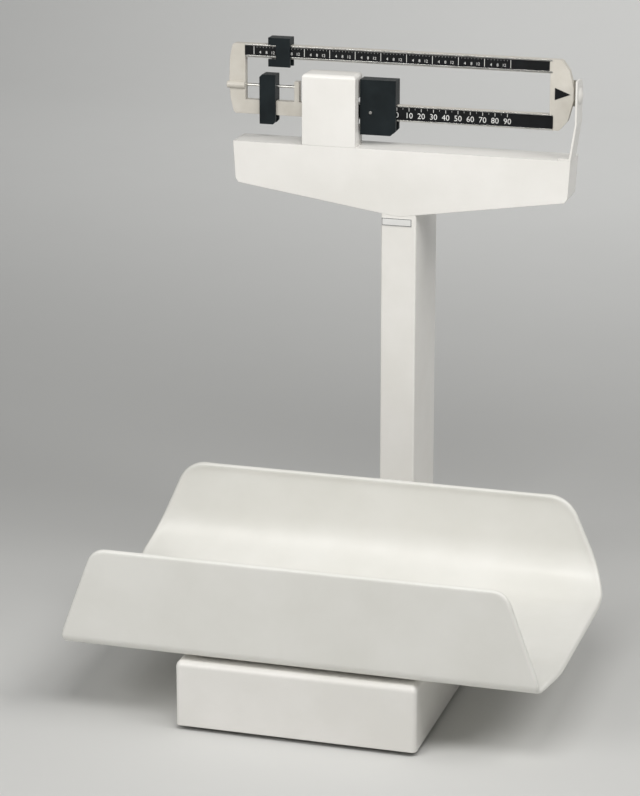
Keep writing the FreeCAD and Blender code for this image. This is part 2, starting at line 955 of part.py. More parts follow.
def head():
    rear = "column_front + head_depth"
    body = prism("head_panel", "XZ", [head_outline("0", "head_top")], "column_front", rear)
    inner = head_outline("head_sheet", "head_top + sheet")
    pocket(body, "XZ", [inner], "column_front + head_sheet", f"{rear} + sheet")
    pocket(
        body,
        "XY",
        [("0", "beam_plane", "rod_hole")],
        "head_tip - sheet",
        "head_tip + rod_hole_rise",
    )
    node("head_panel", body)

    side = "(head_half - head_sheet - pan_slack)"
    shelf = prism(
        "head_shelf",
        "XY",
        [
            rectangle(f"-{side}", side, "column_front + head_sheet", rear),
            rectangle(
                "load - yoke_half - yoke_clear",
                "load + yoke_half + yoke_clear",
                "beam_plane - yoke_outer - yoke_clear",
                "beam_plane + yoke_outer + yoke_clear",
            ),
        ],
        "head_top - shelf_thick",
        "head_top",
    )
    node("head_shelf", shelf)

    back = prism(
        "head_back_cover",
        "XZ",
        [head_outline("0", "head_top")],
        rear,
        f"{rear} + head_sheet",
    )
    node("head_back_cover", back)

    outer_face = f"{rear} + head_sheet"
    upper = "head_top - head_screw_drop"
    spots = (
        ("head_screw_far", upper),
        ("head_screw_far", "head_low + head_screw_rise"),
        ("head_screw_near", upper),
    )
    places = [(f"{sign} * {across}", level) for sign in (-1, 1) for across, level in spots]
    screws = [
        rod("head_screw", "Y", "screw_head_radius", (across, outer_face, level), "screw_head")
        for across, level in places
    ]
    group("head_screws", screws)


def fulcrum_cover():
    """The white box over the beam's fulcrum, open below and behind."""
    rear = "column_front + cover_depth"
    body = prism(
        "fulcrum_cover",
        "XY",
        [rectangle("cover_left", "cover_right", "column_front", rear)],
        "head_top",
        "cover_top",
    )
    top = D["cover_top"]
    front = D["column_front"]
    round_edges(
        body,
        lambda box: near(box.ZMin, top)
        and (runs_along(box, "X") and near(box.YMin, front) or runs_along(box, "Y")),
        "cover_round",
    )
    inside = rectangle(
        "cover_left + head_sheet",
        "cover_right - head_sheet",
        "head_top - sheet",
        "cover_top - 2 * head_sheet",
    )
    pocket(body, "XZ", [inside], "column_front + 2 * head_sheet", f"{rear} + sheet")
    slot = rectangle(
        "beam_plane - beam_half - cover_slot_gap", f"{rear} + sheet", "cover_slot_low", "cover_slot_high"
    )
    pocket(body, "YZ", [slot], "cover_left - sheet", "cover_right + sheet")
    node("fulcrum_cover", body)


def fulcrum_stand():
    """Two uprights on the shelf, one each side of the beam, with a grooved block on each."""
    left = "fulcrum - fulcrum_stand_half"
    right = "fulcrum + fulcrum_stand_half"
    foot = block(
        "stand_foot",
        (left, right),
        ("beam_plane - fulcrum_foot_half", "beam_plane + fulcrum_foot_half"),
        ("head_top", "head_top + fulcrum_foot_thick"),
    )
    top = "beam_edge - fulcrum_bearing_depth"
    cheeks = (
        ("beam_plane - cheek_outer", "beam_plane - cheek_inner"),
        ("beam_plane + cheek_inner", "beam_plane + cheek_outer"),
    )
    uprights = [block("stand_cheek", (left, right), cheek, ("head_top", top)) for cheek in cheeks]
    node("fulcrum_stand", fused("fulcrum_stand", [foot, *uprights]))
    lip = "beam_edge - bearing_gap + bearing_lip"
    groove = [
        ("fulcrum", "beam_edge - bearing_gap"),
        ("fulcrum + 2 * bearing_lip", lip),
        ("fulcrum + bearing_half", lip),
        ("fulcrum + bearing_half", top),
        ("fulcrum - bearing_half", top),
        ("fulcrum - bearing_half", lip),
        ("fulcrum - 2 * bearing_lip", lip),
    ]
    group("fulcrum_bearings", [prism("fulcrum_bearing", "XZ", [groove], *cheek) for cheek in cheeks])


def trig_plate():
    """The upright at the right end that the beam's nose swings beside."""
    outline = [
        ("head_half - trig_foot", "head_top"),
        ("head_half", "head_top"),
        ("trig_right", "trig_bend"),
        ("trig_right", "trig_top"),
        ("trig_right - trig_thick", "trig_top"),
        ("trig_right - trig_thick", "trig_bend"),
        ("head_half - trig_thick", "head_top + trig_thick"),
        ("head_half - trig_foot", "head_top + trig_thick"),
    ]
    rear = "column_front + trig_depth"
    body = prism("trig_plate", "XZ", [outline], "column_front", rear)
    back = D["column_front"] + D["trig_depth"]
    round_edges(
        body,
        lambda box: runs_along(box, "X") and near(box.ZMin, D["trig_top"]) and near(box.YMin, back),
        "trig_round",
    )
    node("trig_plate", body)

    bump = doc.addObject("Part::Sphere", "trig_bump_ball")
    bump.setExpression("Radius", bound("trig_bump_radius"))
    centre = ("trig_right - trig_bump_sink", "column_front + trig_depth / 2", "beam_axis")
    for letter, text in zip("xyz", centre):
        bump.setExpression(f".Placement.Base.{letter}", bound(text))
    inner_side = block(
        "trig_bump_cut",
        ("trig_right - 2 * trig_bump_radius", "trig_right"),
        ("column_front - trig_depth", "column_front + 2 * trig_depth"),
        ("head_top", "upper_high"),
    )
    node("trig_bump", without("trig_bump", bump, inner_side))


def trig_stop():
    """A slotted tongue behind the beam that catches the beam's stop pin."""
    outline = [
        rectangle(
            "stop_pin - trig_tongue_back",
            "trig_right - trig_thick",
            "beam_axis - trig_tongue_half",
            "beam_axis + trig_tongue_half",
        ),
        rectangle(
            "stop_pin - trig_slot_half_width",
            "stop_pin + trig_slot_half_width",
            "beam_axis - trig_slot_half",
            "beam_axis + trig_slot_half",
        ),
    ]
    low = "beam_plane + beam_half + trig_tongue_gap"
    tongue = prism("trig_stop", "XZ", outline, low, f"{low} + trig_tongue_thick")
    node("trig_stop", tongue)


# ---------------------------------------------------------------- beam


def beam():
    window_left = "beam_left_inner"
    outer = [
        ("beam_left_top", "upper_high"),
        ("beam_left", "upper_low"),
        ("beam_left_bush", "balance_rod_level"),
        ("beam_left_arm", "left_high"),
        ("beam_left_foot", "left_low"),
        ("lower_label_left", "left_low"),
        ("lower_label_left", "lower_low"),
        ("beam_right_foot", "lower_low"),
        ("nose_low_right", "nose_low"),
        ("beam_nose", "beam_axis - nose_flat"),
        ("beam_nose", "beam_axis + nose_flat"),
        ("nose_high_right", "nose_high"),
        ("nose_top_right", "upper_high"),
    ]
    window = [
        (window_left, "upper_low"),
        (window_left, "left_high"),
        ("rod_post_left", "left_high"),
        ("rod_post_left", "rod_post_top"),
        ("rod_post_right", "rod_post_top"),
        ("rod_post_right", "left_high"),
        ("boss_left", "left_high"),
        ("boss_left + boss_slant", "boss_top"),
        ("boss_right - boss_slant", "boss_top"),
        ("boss_right", "lower_high"),
        ("beam_right_inner", "lower_high"),
        ("beam_right_inner", "upper_low"),
    ]
    body = prism(
        "beam_casting", "XZ", [outer, window], "beam_plane - beam_half", "beam_plane + beam_half"
    )

    def outer_corner(box):
        left_end = box.XMin < D["beam_left_inner"] - TINY
        right_end = box.XMin > D["beam_right_inner"] + TINY
        return runs_along(box, "Y") and (left_end or right_end)

    round_edges(body, outer_corner, "beam_round")
    node("beam_casting", body)

    front = "beam_plane - beam_half"
    upper = prism(
        "upper_scale_strip",
        "XZ",
        [rectangle(window_left, "upper_label_right", "upper_label_low", "upper_label_high")],
        f"{front} - label_thick",
        front,
    )
    node("upper_scale_strip", upper)
    lower = prism(
        "lower_scale_strip",
        "XZ",
        [
            rectangle(
                "lower_label_left", "lower_label_right", "lower_label_low", "lower_label_high"
            )
        ],
        f"{front} - label_thick",
        front,
    )
    round_edges(
        lower,
        lambda box: runs_along(box, "Y") and near(box.XMin, D["lower_label_right"]),
        "label_round",
    )
    node("lower_scale_strip", lower)
    arrow = [
        ("arrow_left", "beam_axis - arrow_half"),
        ("arrow_right", "beam_axis"),
        ("arrow_left", "beam_axis + arrow_half"),
    ]
    node("pointer_arrow", prism("pointer_arrow", "XZ", [arrow], f"{front} - arrow_thick", front))


def beam_knives():
    """Short hardened pivots on both faces of the beam."""
    faces = (
        ("beam_plane - beam_knife_reach", "beam_plane - beam_half"),
        ("beam_plane + beam_half", "beam_plane + beam_knife_reach"),
    )
    fulcrum = [knife("fulcrum_knife", "XZ", "fulcrum", "beam_edge", 1, *span) for span in faces]
    load = [knife("load_knife", "XZ", "load", "beam_edge", -1, *span) for span in faces]
    group("beam_fulcrum_knives", fulcrum)
    group("beam_load_knives", load)


def balance_rod():
    level = "balance_rod_level"
    bar = rod(
        "balance_rod",
        "X",
        "balance_rod_radius",
        ("beam_left_inner", "beam_plane", level),
        "rod_post_left - beam_left_inner",
    )
    node("balance_rod", bar)
    proud = ("beam_plane - beam_half - bush_radius", "beam_plane - beam_half")
    boss = rod(
        "rod_bush_bar",
        "X",
        "bush_radius",
        ("bush_left", "beam_plane - beam_half", level),
        "beam_left_inner - bush_left",
    )
    keep = block(
        "rod_bush_keep", ("bush_left", "beam_left_inner"), proud, ("left_high", "upper_low")
    )
    half = doc.addObject("Part::Common", "rod_bush")
    half.Base = boss
    half.Tool = keep
    node("rod_bush", half)
    pin = rod(
        "stop_pin",
        "Y",
        "stop_pin_radius",
        ("stop_pin", "beam_plane + beam_half", "beam_axis"),
        "stop_pin_length",
    )
    node("beam_stop_pin", pin)


# ---------------------------------------------------------------- rod, head lever, link


def yoke(name, across, low, high, bridge_at_top, windows):
    """Two cheeks joined by a bridge, with a window in each cheek for every knife."""
    inner = "yoke_inner"
    outer = "yoke_outer"
    y = "beam_plane"
    if bridge_at_top:
        end, turn, shut = low, f"{high} - yoke_bridge", high
    else:
        end, turn, shut = high, f"{low} + yoke_bridge", low
    section = [
        (f"{y} - {outer}", shut),
        (f"{y} + {outer}", shut),
        (f"{y} + {outer}", end),
        (f"{y} + {inner}", end),
        (f"{y} + {inner}", turn),
        (f"{y} - {inner}", turn),
        (f"{y} - {inner}", end),
        (f"{y} - {outer}", end),
    ]
    body = prism(name, "YZ", [section], f"{across} - yoke_half", f"{across} + yoke_half")
    for bottom, top in windows:
        hole = rectangle(f"{across} - yoke_window", f"{across} + yoke_window", bottom, top)
        pocket(body, "XZ", [hole], f"{y} - {outer} - sheet", f"{y} + {outer} + sheet")
    return body


def steelyard_rod():
    """Hangs on the head lever and holds up the long lever's nose."""
    half = "(nose_half + stirrup_width)"
    top = "long_edge + stirrup_above"
    outer = rectangle(f"-{half}", half, "long_edge - stirrup_below", top)
    hole = rectangle(
        "-nose_half - stirrup_gap",
        "nose_half + stirrup_gap",
        "long_edge - bearing_gap",
        "long_edge + stirrup_window",
    )
    near_side = "beam_plane - knife_half + stirrup_slack"
    far_side = "beam_plane + knife_half - stirrup_slack"
    stirrup = prism("lower_stirrup", "XZ", [outer, hole], near_side, far_side)
    node("lower_stirrup", stirrup)
    bridge = "head_lever_edge - yoke_drop"
    shaft = rod(
        "steelyard_rod", "Z", "rod_radius", ("0", "beam_plane", top), f"{bridge} - ({top})"
    )
    node("steelyard_rod", shaft)
    window = ("head_lever_edge - knife_depth - window_spare", "head_lever_edge + bearing_gap")
    upper = yoke("upper_yoke", "0", bridge, "head_lever_edge + yoke_over", False, [window])
    node("upper_yoke", upper)


def head_lever():
    bar = block(
        "head_lever",
        ("load - yoke_half", "head_lever_fulcrum + yoke_half"),
        ("beam_plane - head_lever_half", "beam_plane + head_lever_half"),
        ("head_lever_edge - head_lever_rise", "head_lever_edge + head_lever_rise"),
    )
    node("head_lever", bar)
    knives = []
    for across, sign in (("load", 1), ("0", -1), ("head_lever_fulcrum", 1)):
        for low, high in (
            ("beam_plane - head_knife_reach", "beam_plane - head_lever_half"),
            ("beam_plane + head_lever_half", "beam_plane + head_knife_reach"),
        ):
            knives.append(knife("head_lever_knife", "XZ", across, "head_lever_edge", sign, low, high))
    group("head_lever_knives", knives)
    window = ("head_lever_edge - bearing_gap", "head_lever_edge + knife_depth + window_spare")
    hanger = yoke(
        "head_lever_hanger",
        "head_lever_fulcrum",
        "head_lever_edge - hanger_drop",
        "head_top - shelf_thick",
        True,
        [window],
    )
    node("head_lever_hanger", hanger)


def beam_link():
    """Joins the head lever's tip to the beam's load knives, through the shelf."""
    low = "head_lever_edge - head_lever_rise - hanger_drop"
    windows = [
        ("head_lever_edge - bearing_gap", "head_lever_edge + knife_depth + window_spare"),
        ("beam_edge - knife_depth - window_spare", "beam_edge + bearing_gap"),
    ]
    node("beam_link", yoke("beam_link", "load", low, "beam_edge + yoke_over", False, windows))


# ---------------------------------------------------------------- poises


def straddle(name, left, right, low, high, half, slot_top):
    """A block that hangs over a bar, with a slot open below."""
    body = prism(
        name, "XZ", [rectangle(left, right, low, high)], f"beam_plane - {half}", f"beam_plane + {half}"
    )
    slot = rectangle(
        "beam_plane - beam_half - label_thick - poise_gap",
        "beam_plane + beam_half + poise_gap",
        f"{low} - sheet",
        f"{slot_top} + poise_gap",
    )
    pocket(body, "YZ", [slot], f"{left} - sheet", f"{right} + sheet")
    return body


def corner(x, z):
    return lambda box: runs_along(box, "Y") and near(box.XMin, x) and near(box.ZMin, z)


def keeper(name, left, right, level):
    """A pin across the slot, under the bar, that keeps the poise on the beam."""
    start = "beam_plane - beam_half - label_thick - poise_gap"
    span = "2 * beam_half + label_thick + 2 * poise_gap"
    across = f"(({left}) + ({right})) / 2"
    return node(name, rod(name, "Y", "keeper_radius", (across, start, level), span))


def poises():
    main = straddle(
        "main_poise", "main_left", "main_right", "main_low", "main_high", "main_half", "lower_high"
    )
    bevel_edges(main, corner(D["main_right"], D["main_low"]), "poise_chamfer")
    node("main_poise", main)
    keeper("main_poise_keeper", "main_left", "main_right", "lower_low - keeper_radius - keeper_gap")
    pin = rod(
        "main_poise_pin",
        "Y",
        "keeper_radius",
        (
            "main_left + main_pin_across",
            "beam_plane - main_half - main_pin_proud",
            "main_low + main_pin_up",
        ),
        "main_pin_proud",
    )
    node("main_poise_pin", pin)

    part = straddle(
        "fractional_poise",
        "part_left",
        "part_right",
        "part_low",
        "part_high",
        "part_half",
        "upper_high",
    )
    notch = rectangle(
        "part_left - sheet",
        "part_left + part_window",
        "upper_low - part_window_drop",
        "upper_high + poise_gap",
    )
    front = "beam_plane - part_half - sheet"
    pocket(part, "XZ", [notch], front, "beam_plane - beam_half - label_thick")
    node("fractional_poise", part)
    level = "upper_low - keeper_radius - keeper_gap"
    keeper("fractional_poise_keeper", "part_left", "part_right", level)


def balance_weight():
    weight = straddle(
        "balance_weight",
        "weight_left",
        "weight_right",
        "weight_low",
        "weight_high",
        "weight_half",
        "left_high",
    )
    bevel_edges(weight, corner(D["weight_left"], D["weight_high"]), "weight_chamfer")
    bevel_edges(weight, corner(D["weight_right"], D["weight_low"]), "weight_chamfer")
    bore = ("beam_plane", "balance_rod_level", "balance_rod_radius + running_gap")
    pocket(weight, "YZ", [bore], "weight_left - sheet", "weight_right + sheet")
    node("balance_weight", weight)


# ---------------------------------------------------------------- build and write

STEPS = (
    base_cover,
    base_pan,
    feet,
    cover_screws,
    lever_stands,
    long_lever,
    short_lever,
    platform,
    tray,
    column_flange,
    column,
    head,
    fulcrum_cover,
    fulcrum_stand,
    trig_plate,
    trig_stop,
    beam,
    beam_knives,
    balance_rod,
    steelyard_rod,
    head_lever,
    beam_link,
    poises,
    balance_weight,
)


def check():
    """Stops the script if anything failed to build."""
    for obj in doc.Objects:
        if "Invalid" in obj.State or "Error" in obj.State:
            raise RuntimeError(f"{obj.Name} ({obj.Label}): {obj.State}")
    for piece in nodes:
        if piece.Shape.isNull() or not piece.Shape.isValid() or not piece.Shape.Solids:
            raise RuntimeError(f"{piece.Label}: bad shape")


for step in STEPS:
    step()
doc.recompute()
check()
os.makedirs("parts", exist_ok=True)
for piece in nodes:
    piece.Shape.exportStep(f"parts/{piece.Label}.step")
print(len(nodes), "nodes")
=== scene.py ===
"""Looks of a bench-top paediatric beam scale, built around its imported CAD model.

All lengths are in metres, in the CAD model's own frame: X to the right, Y to the back, Z up.
"""

import json
import math

import bmesh
import bpy
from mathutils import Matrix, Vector


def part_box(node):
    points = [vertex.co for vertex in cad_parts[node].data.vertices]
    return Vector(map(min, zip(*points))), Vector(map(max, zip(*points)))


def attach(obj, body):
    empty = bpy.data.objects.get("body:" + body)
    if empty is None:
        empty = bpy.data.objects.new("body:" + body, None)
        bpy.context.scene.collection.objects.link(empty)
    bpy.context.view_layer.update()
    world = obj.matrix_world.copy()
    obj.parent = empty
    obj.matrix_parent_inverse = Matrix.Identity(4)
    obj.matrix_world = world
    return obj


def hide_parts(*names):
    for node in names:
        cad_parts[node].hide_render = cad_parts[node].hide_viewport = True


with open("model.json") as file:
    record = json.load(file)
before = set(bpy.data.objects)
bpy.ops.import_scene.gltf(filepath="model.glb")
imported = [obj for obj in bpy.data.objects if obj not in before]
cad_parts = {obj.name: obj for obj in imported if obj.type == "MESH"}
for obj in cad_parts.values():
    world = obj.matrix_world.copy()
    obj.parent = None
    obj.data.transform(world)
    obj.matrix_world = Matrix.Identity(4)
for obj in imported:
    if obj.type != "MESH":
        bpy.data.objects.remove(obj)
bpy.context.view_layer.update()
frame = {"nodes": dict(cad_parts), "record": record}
MM = 0.001


# ---------------------------------------------------------------- materials

BEVEL_SAMPLES = 4
# How far a metal's colour is lightened at its edges: a painted highlight.
PAINTED_EDGE_HIGHLIGHT = 0.6
# Cosine between the rounded normal and the true one, away from an edge and on it.
FLAT_COSINE = 0.995
EDGE_COSINE = 0.75


def linear(red, green, blue):
    """An 8-bit display colour as the linear colour that a shader takes."""
    out = []
    for value in (red, green, blue):
        share = value / 255
        out.append(share / 12.92 if share <= 0.04045 else ((share + 0.055) / 1.055) ** 2.4)
    return (*out, 1.0)


class Finish:
    """A procedural material on the Principled shader, with the piece's own coordinates."""

    def __init__(self, name, metallic=0.0, coat=0.0, coat_roughness=0.1, specular=0.5):
        self.material = bpy.data.materials.new(name)
        self.material.use_nodes = True
        self.tree = self.material.node_tree
        self.shader = self.tree.nodes["Principled BSDF"]
        self.shader.inputs["Metallic"].default_value = metallic
        self.shader.inputs["Coat Weight"].default_value = coat
        self.shader.inputs["Coat Roughness"].default_value = coat_roughness
        self.shader.inputs["Specular IOR Level"].default_value = specular
        self.coordinates = self.tree.nodes.new("ShaderNodeTexCoord").outputs["Object"]

    def link(self, output, socket):
        self.tree.links.new(output, socket)

    def stretched(self, stretch):
        """The coordinates, drawn out so that a pattern runs along one axis."""
        mapping = self.tree.nodes.new("ShaderNodeMapping")
        mapping.inputs["Scale"].default_value = stretch
        self.link(self.coordinates, mapping.inputs["Vector"])
        return mapping.outputs["Vector"]

    def noise(self, per_metre, detail=3.0, roughness=0.55, stretch=None):
        node = self.tree.nodes.new("ShaderNodeTexNoise")
        node.inputs["Scale"].default_value = per_metre
        node.inputs["Detail"].default_value = detail
        node.inputs["Roughness"].default_value = roughness
        vector = self.stretched(stretch) if stretch else self.coordinates
        self.link(vector, node.inputs["Vector"])
        return node.outputs["Fac"]

    def ranged(self, value, low, high, to_low, to_high):
        node = self.tree.nodes.new("ShaderNodeMapRange")
        node.inputs["From Min"].default_value = low
        node.inputs["From Max"].default_value = high
        node.inputs["To Min"].default_value = to_low
        node.inputs["To Max"].default_value = to_high
        self.link(value, node.inputs["Value"])
        return node.outputs["Result"]

    def mixed(self, share, first, second):
        """A colour between two: each is a constant colour or a socket."""
        node = self.tree.nodes.new("ShaderNodeMix")
        node.data_type = "RGBA"
        self.link(share, node.inputs["Factor"])
        for socket, colour in ((node.inputs[6], first), (node.inputs[7], second)):
            if isinstance(colour, tuple):
                socket.default_value = colour
            else:
                self.link(colour, socket)
        return node.outputs[2]

    def maths(self, operation, first, second):
        node = self.tree.nodes.new("ShaderNodeMath")
        node.operation = operation
        for socket, value in ((node.inputs[0], first), (node.inputs[1], second)):
            if isinstance(value, (int, float)):
                socket.default_value = value
            else:
                self.link(value, socket)
        return node.outputs[0]

    def edges(self, radius):
        """(normals rounded over the edges, how near a sharp edge a point is)."""
        bevel = self.tree.nodes.new("ShaderNodeBevel")
        bevel.samples = BEVEL_SAMPLES
        bevel.inputs["Radius"].default_value = radius
        geometry = self.tree.nodes.new("ShaderNodeNewGeometry")
        dot = self.tree.nodes.new("ShaderNodeVectorMath")
        dot.operation = "DOT_PRODUCT"
        self.link(bevel.outputs["Normal"], dot.inputs[0])
        self.link(geometry.outputs["Normal"], dot.inputs[1])
        near_edge = self.ranged(dot.outputs["Value"], FLAT_COSINE, EDGE_COSINE, 0.0, 1.0)
        return bevel.outputs["Normal"], near_edge

    def bumped(self, height, distance, strength, normal=None):
        node = self.tree.nodes.new("ShaderNodeBump")
        node.inputs["Distance"].default_value = distance
        node.inputs["Strength"].default_value = strength
        self.link(height, node.inputs["Height"])
        if normal is not None:
            self.link(normal, node.inputs["Normal"])
        return node.outputs["Normal"]

    def done(self, colour, roughness, normal):
        self.link(colour, self.shader.inputs["Base Color"])
        self.link(roughness, self.shader.inputs["Roughness"])
        self.link(normal, self.shader.inputs["Normal"])
        return self.material


def painted(name, light, dark, worn, gloss, peel, edge, wear=0.5, coat=0.25):
    """Paint or moulded plastic: faint clouds, an orange-peel skin and rubbed edges."""
    finish = Finish(name, coat=coat, coat_roughness=0.18)
    clouds = finish.noise(9.0, detail=5.0)
    base = finish.mixed(finish.ranged(clouds, 0.35, 0.65, 0.0, 1.0), light, dark)
    specks = finish.noise(650.0, detail=2.0)
    base = finish.mixed(finish.ranged(specks, 0.68, 0.8, 0.0, 0.22), base, worn)
    rounded, near_edge = finish.edges(edge)
    patches = finish.ranged(finish.noise(140.0), 0.42, 0.62, 0.0, wear)
    colour = finish.mixed(finish.maths("MULTIPLY", near_edge, patches), base, worn)
    smears = finish.noise(38.0, detail=6.0, roughness=0.65)
    roughness = finish.ranged(smears, 0.3, 0.7, *gloss)
    scale, height = peel
    normal = finish.bumped(finish.noise(scale, detail=2.0), height, 0.35, rounded)
    return finish.done(colour, roughness, normal)


def metal(name, light, dark, gloss, brushed, edge, height=0.00004, metallic=1.0, specular=0.5):
    """Machined or plated metal: brushed along one axis, stained, with a painted highlight that
    lightens its edges.
    """
    finish = Finish(name, metallic=metallic, specular=specular)
    stains = finish.noise(55.0, detail=5.0)
    base = finish.mixed(finish.ranged(stains, 0.35, 0.7, 0.0, 1.0), light, dark)
    rounded, near_edge = finish.edges(edge)
    # Painted highlight: the colour turns towards the light tone near every edge.
    colour = finish.mixed(finish.maths("MULTIPLY", near_edge, PAINTED_EDGE_HIGHLIGHT), base, light)
    lines = finish.noise(900.0, detail=3.0, stretch=brushed)
    roughness = finish.ranged(lines, 0.3, 0.7, *gloss)
    return finish.done(colour, roughness, finish.bumped(lines, height, 0.3, rounded))


def cast(
    name, light, dark, worn, gloss, edge, grain=420.0, height=0.0002, metallic=0.0, specular=0.5
):
    """Rough-cast metal under thin paint: a sandy skin and rubbed edges."""
    finish = Finish(name, metallic=metallic, specular=specular)
    clouds = finish.noise(30.0, detail=6.0)
    base = finish.mixed(finish.ranged(clouds, 0.35, 0.65, 0.0, 1.0), light, dark)
    rounded, near_edge = finish.edges(edge)
    patches = finish.ranged(finish.noise(180.0), 0.4, 0.65, 0.0, 0.75)
    colour = finish.mixed(finish.maths("MULTIPLY", near_edge, patches), base, worn)
    sand = finish.noise(grain, detail=4.0, roughness=0.6)
    roughness = finish.ranged(sand, 0.3, 0.7, *gloss)
    return finish.done(colour, roughness, finish.bumped(sand, height, 0.35, rounded))


FINISHES = {
    "white_enamel": painted(
        "white_enamel",
        light=linear(243, 241, 237),
        dark=linear(236, 234, 229),
        worn=linear(196, 192, 182),
        gloss=(0.3, 0.46),
        peel=(520.0, 0.00012),
        edge=0.0012,
        wear=0.35,
    ),
    "tray_shell": painted(
        "tray_shell",
        light=linear(236, 235, 230),
        dark=linear(230, 229, 223),
        worn=linear(208, 206, 200),
        gloss=(0.36, 0.52),
        peel=(760.0, 0.00009),
        edge=0.0009,
        wear=0.2,
        coat=0.15,
    ),
    "beam_metal": cast(
        "beam_metal",
        light=linear(212, 208, 199),
        dark=linear(200, 195, 185),
        worn=linear(236, 234, 228),
        gloss=(0.34, 0.52),
        edge=0.0008,
        grain=700.0,
        height=0.0001,
    ),
    "black_iron": cast(
        "black_iron",
        light=linear(25, 33, 36),
        dark=linear(15, 22, 25),
        worn=linear(70, 77, 79),
        gloss=(0.36, 0.55),
        edge=0.0006,
        grain=900.0,
        height=0.0001,
        specular=0.24,
    ),
    "scale_strip": metal(
        "scale_strip",
        light=linear(19, 21, 23),
        dark=linear(10, 11, 13),
        gloss=(0.34, 0.52),
        brushed=(0.06, 1.0, 1.0),
        edge=0.0003,
        height=0.00002,
        metallic=0.0,
        specular=0.25,
    ),
    "plate_metal": painted(
        "plate_metal",
        light=linear(238, 238, 236),
        dark=linear(226, 226, 224),
        worn=linear(176, 176, 174),
        gloss=(0.28, 0.45),
        peel=(900.0, 0.00003),
        edge=0.0003,
    ),
    "bright_steel": metal(
        "bright_steel",
        light=linear(238, 237, 233),
        dark=linear(212, 210, 204),
        gloss=(0.16, 0.34),
        brushed=(0.05, 1.0, 1.0),
        edge=0.0005,
    ),
    "pivot_steel": metal(
        "pivot_steel",
        light=linear(190, 190, 192),
        dark=linear(150, 151, 154),
        gloss=(0.2, 0.4),
        brushed=(1.0, 0.06, 1.0),
        edge=0.0005,
    ),
    "cast_iron": cast(
        "cast_iron",
        light=linear(92, 94, 96),
        dark=linear(70, 72, 75),
        worn=linear(150, 150, 150),
        gloss=(0.5, 0.72),
        edge=0.001,
        metallic=0.3,
    ),
    "plated_steel": metal(
        "plated_steel",
        light=linear(206, 205, 200),
        dark=linear(178, 176, 168),
        gloss=(0.22, 0.42),
        brushed=(1.0, 1.0, 0.2),
        edge=0.0004,
    ),
    "rubber": cast(
        "rubber",
        light=linear(48, 48, 49),
        dark=linear(36, 36, 37),
        worn=linear(70, 70, 70),
        gloss=(0.62, 0.8),
        edge=0.0008,
        grain=800.0,
        height=0.00012,
    ),
}

for part in frame["record"]["subparts"]:
    slots = frame["nodes"][part["node"]].data.materials
    slots.clear()
    slots.append(FINISHES[part["material_slot"]])


# ---------------------------------------------------------------- pieces


def piece(name, mesh, body, slot, smooth=False):
    """Puts a mesh into the scene as a piece of the object that moves with a body."""
    if smooth:
        mesh.shade_smooth()
    mesh.materials.clear()
    mesh.materials.append(FINISHES[slot])
    obj = bpy.data.objects.new(name, mesh)
    bpy.context.scene.collection.objects.link(obj)
    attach(obj, body)
    return obj


def interpolated(table, value):
    """Straight-line interpolation in a table of (key, result) with rising keys."""
    if value <= table[0][0]:
        return table[0][1]
    for (low_key, low), (high_key, high) in zip(table, table[1:]):
        if value <= high_key:
            return low + (high - low) * (value - low_key) / (high_key - low_key)
    return table[-1][1]


# ---- the tray: one formed sheet with rounded rims and ends that flare outwards

TRAY_LOW, TRAY_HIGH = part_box("tray")
TRAY_HALF_THICK = 2.5 * MM
TRAY_BEAD = 3.9 * MM
TRAY_BEAD_WIDTH = 12.0 * MM
TRAY_FRONT_BEND = 11.0 * MM
TRAY_REAR_BEND = 60.5 * MM
TRAY_FRONT_CORNER = 25.0 * MM
TRAY_REAR_CORNER = 42.0 * MM
TRAY_RIM_HALF = 261.0 * MM
TRAY_FRONT_HALF = 305.5 * MM
TRAY_TAPER = 88.0 * MM
TRAY_END_RISE = 9.0 * MM
TRAY_LOW_CORNER = 4.5 * MM
TRAY_LOW_CORNER_RUN = 16.0 * MM
TRAY_FLARE_WIDTH = 20.0 * MM
TRAY_FLARE_FLOOR = 4.5 * MM
TRAY_FLARE_RUN = 70.0 * MM
TRAY_FLARE_REAR_EASE = 0.6

# How finely the sheet is divided.
BEND_STEPS = 18
FLOOR_STEPS = 26
FRONT_WALL_STEPS = 12
REAR_WALL_STEPS = 6
FRONT_CORNER_SHARES = (0.9,)
REAR_CORNER_SHARES = (0.6, 0.75, 0.88)
TRAY_COLUMNS = 22
RIM_SEARCH_ROWS = 16
RIM_STEPS = (0.0, 0.12, 0.45, 1.0, 1.7, 2.6, 4.0, 6.0, 9.0, 13.0, 20.0)
RIM_INSETS = [step * MM for step in RIM_STEPS]


def bend_points(centre_y, centre_z, radius, outs):
    """Points of a bend's section, one for each outward direction."""
    return [(centre_y + radius * out[0], centre_z + radius * out[1], *out) for out in outs]


